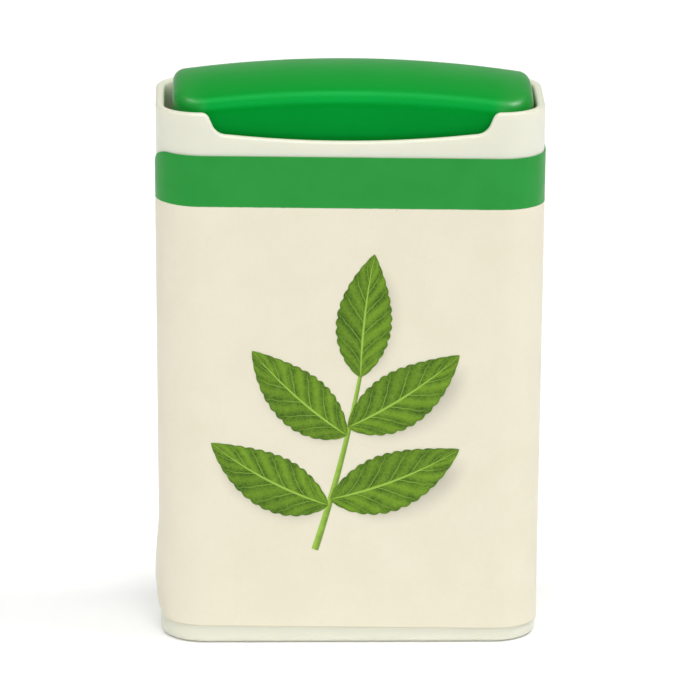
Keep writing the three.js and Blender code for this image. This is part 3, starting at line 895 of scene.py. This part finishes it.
def closed_sheet(name, front_rows, back_rows, uv, material):
    """A thin closed solid from two grids of points that face each other."""
    rows, columns = len(front_rows), len(front_rows[0])
    points = np.vstack([np.vstack(front_rows), np.vstack(back_rows)])
    size = rows * columns
    faces = grid_faces(rows, columns)
    faces += [tuple(reversed(face)) for face in grid_faces(rows, columns, start=size)]
    border = [(0, c) for c in range(columns - 1)]
    border += [(r, columns - 1) for r in range(rows - 1)]
    border += [(rows - 1, c) for c in range(columns - 1, 0, -1)]
    border += [(r, 0) for r in range(rows - 1, 0, -1)]
    loop = [r * columns + c for r, c in border]
    for here, following in zip(loop, loop[1:] + loop[:1]):
        faces.append((following, here, here + size, following + size))
    flat_uv = np.vstack(uv)
    return mesh_piece(name, points, faces, material, "shell", np.vstack([flat_uv, flat_uv]), sharp=50)


def ink_patch(name, x, z, uv, material, layer=0):
    """A printed patch on the label's front, from grids of x and z; a higher layer lies over a lower one."""
    top = LABEL_GAP + LABEL_THICK + INK_RAISE * (layer + 1)
    root = LABEL_GAP + LABEL_THICK - INK_ROOT
    front_rows, back_rows, uv_rows = [], [], []
    for row_x, row_z, row_uv in zip(x, z, uv):
        along = FRONT_START + row_x + (HALF_X - CORNER_R)
        for rows, off in ((front_rows, top), (back_rows, root)):
            points = on_skin(along, row_z, np.full(len(along), off))
            points[:, 2] = tilted(row_z, points[:, 0])
            rows.append(points)
        uv_rows.append(row_uv)
    piece = closed_sheet(name, front_rows, back_rows, uv_rows, material)


def spine_curve(start, heading, length, bend, share):
    """Points and headings along a gently bent line: heading is in degrees from +X, bend the total turn."""
    turned = np.radians(heading + bend * (share - 0.5))
    step = np.diff(share, prepend=0) * length
    x = start[0] + np.cumsum(step * np.cos(turned))
    z = start[1] + np.cumsum(step * np.sin(turned))
    return x, z, turned


def ribbon(name, start, heading, length, bend, half_width, material, layer, across=9, shift=(0, 0)):
    """A patch along a spine; half_width gives its half width at each share of the length."""
    share = np.linspace(0, 1, RIBBON_STEPS + 1)
    x, z, turned = spine_curve(start, heading, length, bend, share)
    half = half_width(share)
    places = np.linspace(1, -1, across)
    grid_x = [x + shift[0] + place * half * np.sin(turned) for place in places]
    grid_z = [z + shift[1] - place * half * np.cos(turned) for place in places]
    uv = [np.column_stack([share, np.full(len(share), (1 - place) / 2)]) for place in places]
    ink_patch(name, grid_x, grid_z, uv, material, layer)


def leaf_half_width(width):
    """A pointed oval whose edge is scalloped into small rounded teeth."""

    def half(share):
        oval = np.sin(math.pi * share**0.82) ** 0.85
        notch = 1 - np.abs(np.sin(math.pi * LEAF_TEETH * share))
        return width / 2 * np.clip(oval, 0, 1) * (1 - TOOTH_DEPTH * notch) + PATCH_TIP

    return half


def shadow_half_width(width):
    """The rounder outline of the shadow under a leaf of that width."""

    def half(share):
        return width * SHADOW_HALF_WIDTH * np.sin(math.pi * share) ** 0.7 + PATCH_TIP

    return half


def sprig():
    """A printed sprig: an upright stem with opposite leaves and one at its tip, over soft shadows."""
    stem_start = (-3.4, 9.5)
    # name, start, heading in degrees, length, bend in degrees, width
    leaves = [
        ("leaf_1", (-2.1, 14.0), 152, 13.0, -22, 5.6),
        ("leaf_2", (-1.9, 14.6), 22, 13.6, 20, 5.8),
        ("leaf_3", (-0.3, 21.0), 138, 12.4, -18, 5.6),
        ("leaf_4", (-0.2, 21.8), 34, 13.0, 18, 5.7),
        ("leaf_5", (1.0, 26.8), 84, 12.2, -10, 5.4),
    ]
    for name, start, heading, length, bend, width in leaves:
        reach = length * SHADOW_LENGTH
        half = shadow_half_width(width)
        ribbon(f"{name}_shadow", start, heading, reach, bend, half, PRINTED_SHADOW, 0, 13, SHADOW_SHIFT)
    ribbon("sprig_stem", stem_start, 76, 18.4, 8, lambda share: 0.34 - 0.16 * share, PRINTED_STEM, 1, 5)
    for number, (name, start, heading, length, bend, width) in enumerate(leaves):
        ribbon(name, start, heading, length, bend, leaf_half_width(width), PRINTED_LEAF, 2 + number % 2, 13)


def tablet_piece(node_name):
    """A pressed tablet in the place of a CAD one, with a rounded edge."""
    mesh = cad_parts[node_name].data
    corners = np.array([v.co for v in mesh.vertices]) / MM
    centre = corners.mean(axis=0)
    spread = np.linalg.svd(corners - centre, full_matrices=False)[2]
    axis = spread[2] * (1 if spread[2][2] > 0 else -1)
    radius = np.linalg.norm(corners - centre, axis=1).max()
    half_thick = np.abs((corners - centre) @ axis).max()
    radius = math.sqrt(radius**2 - (half_thick - TABLET_CHAMFER) ** 2)
    edge_centre = (radius - TABLET_EDGE_R, half_thick - TABLET_EDGE_R)
    profile = [(0.0, half_thick), *arc(edge_centre, TABLET_EDGE_R, 90, 0, 4)]
    profile += [(r, -h) for r, h in profile[::-1]]
    across = Vector(axis).orthogonal().normalized()
    beside = Vector(axis).cross(across)
    turns = np.linspace(0, 2 * math.pi, TABLET_SIDES, endpoint=False)
    points = [
        centre + axis * h + np.array(across) * r * math.cos(a) + np.array(beside) * r * math.sin(a)
        for r, h in profile[::-1]
        for a in turns
    ]
    faces = grid_faces(len(profile), TABLET_SIDES, wrap_columns=True)
    piece = mesh_piece(f"pressed_{node_name}", points, faces, PRESSED_TABLET)
    weld(piece)
    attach(piece, "button" if node_name == "tablet_in_pocket" else "shell")
    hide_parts(node_name)


def finish_cad_node(name, material, width):
    """Keeps a CAD node, with its edges rounded by width millimetres."""
    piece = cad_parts[name]
    piece.data.materials.clear()
    piece.data.materials.append(material)
    weld(piece)
    soften_edges(piece, width)
    return piece


# ---------------------------------------------------------------- stage


def build_stage():
    """A pale floor, the studio's dim wall and ceiling, and soft lights."""
    corners = [(x * FLOOR_REACH, y * FLOOR_REACH, 0) for x, y in ((-1, -1), (1, -1), (1, 1), (-1, 1))]
    floor = mesh_piece("floor", corners, [(0, 1, 2, 3)], floor_paper())
    world = bpy.data.worlds.new("studio")
    world.use_nodes = True
    tree = world.node_tree
    background = tree.nodes["Background"]
    background.inputs["Color"].default_value = (1, 1, 1, 1)
    direction = node(tree, "ShaderNodeTexCoord").outputs["Generated"]
    towards = node(tree, "ShaderNodeSeparateXYZ", {0: direction})
    behind = ramp(tree, towards.outputs[1], 0.0, 0.4, 0.0, WALL_LIGHT)
    overhead = ramp(tree, towards.outputs[2], 0.3, 0.5)
    wall = calc(tree, "MULTIPLY", behind, calc(tree, "SUBTRACT", 1.0, overhead))
    level = calc(tree, "MULTIPLY_ADD", overhead, CEILING_LIGHT, wall)
    tree.links.new(level, background.inputs["Strength"])
    bpy.context.scene.world = world
    for name, place, size, brightness in SOFTBOXES:
        soft_light(name, place, size, brightness)
    bpy.context.scene.view_settings.view_transform = "Standard"


def soft_light(name, place, size, brightness):
    """A square softbox at place, facing the button, size millimetres across."""
    data = bpy.data.lights.new(name, "AREA")
    data.size = size * MM
    data.energy = brightness * math.pi * data.size**2
    light = bpy.data.objects.new(name, data)
    light.location = Vector(place) * MM
    light.rotation_euler = (Vector(place) - Vector(LIGHTS_AIM)).to_track_quat("Z", "Y").to_euler()
    bpy.context.scene.collection.objects.link(light)


def build_camera():
    """The camera that matches the photograph: its place, aim, roll and focal length."""
    azimuth, elevation, roll = (math.radians(a) for a in (CAMERA_AZIMUTH, CAMERA_ELEVATION, CAMERA_ROLL))
    back = Vector((
        math.sin(azimuth) * math.cos(elevation),
        -math.cos(azimuth) * math.cos(elevation),
        math.sin(elevation),
    ))
    right = Vector((math.cos(azimuth), math.sin(azimuth), 0))
    up = back.cross(right)
    rolled_right = right * math.cos(roll) + up * math.sin(roll)
    rolled_up = up * math.cos(roll) - right * math.sin(roll)
    data = bpy.data.cameras.new("camera")
    data.sensor_width = SENSOR
    data.lens = FOCAL_PIXELS / FRAME_PIXELS * SENSOR
    data.clip_start = 0.01
    camera = bpy.data.objects.new("camera", data)
    turned = Matrix((rolled_right, rolled_up, back)).transposed().to_4x4()
    place = (Vector(CAMERA_TARGET) + back * CAMERA_DISTANCE) * MM
    camera.matrix_world = Matrix.Translation(place) @ turned
    bpy.context.scene.collection.objects.link(camera)
    bpy.context.scene.camera = camera


build_camera()
build_stage()
housing_shell()
housing_fittings()
button_cap()
button_fittings()
label_piece = wrap_label()
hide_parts("label")
sprig()
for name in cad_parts:
    if name.startswith("tablet"):
        tablet_piece(name)
finish_cad_node("dosing_slide", NATURAL_PLASTIC, FITTING_ROUND)
for name in ("return_spring_left", "return_spring_right"):
    spring = finish_cad_node(name, NATURAL_PLASTIC, SPRING_ROUND)
    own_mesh(spring)
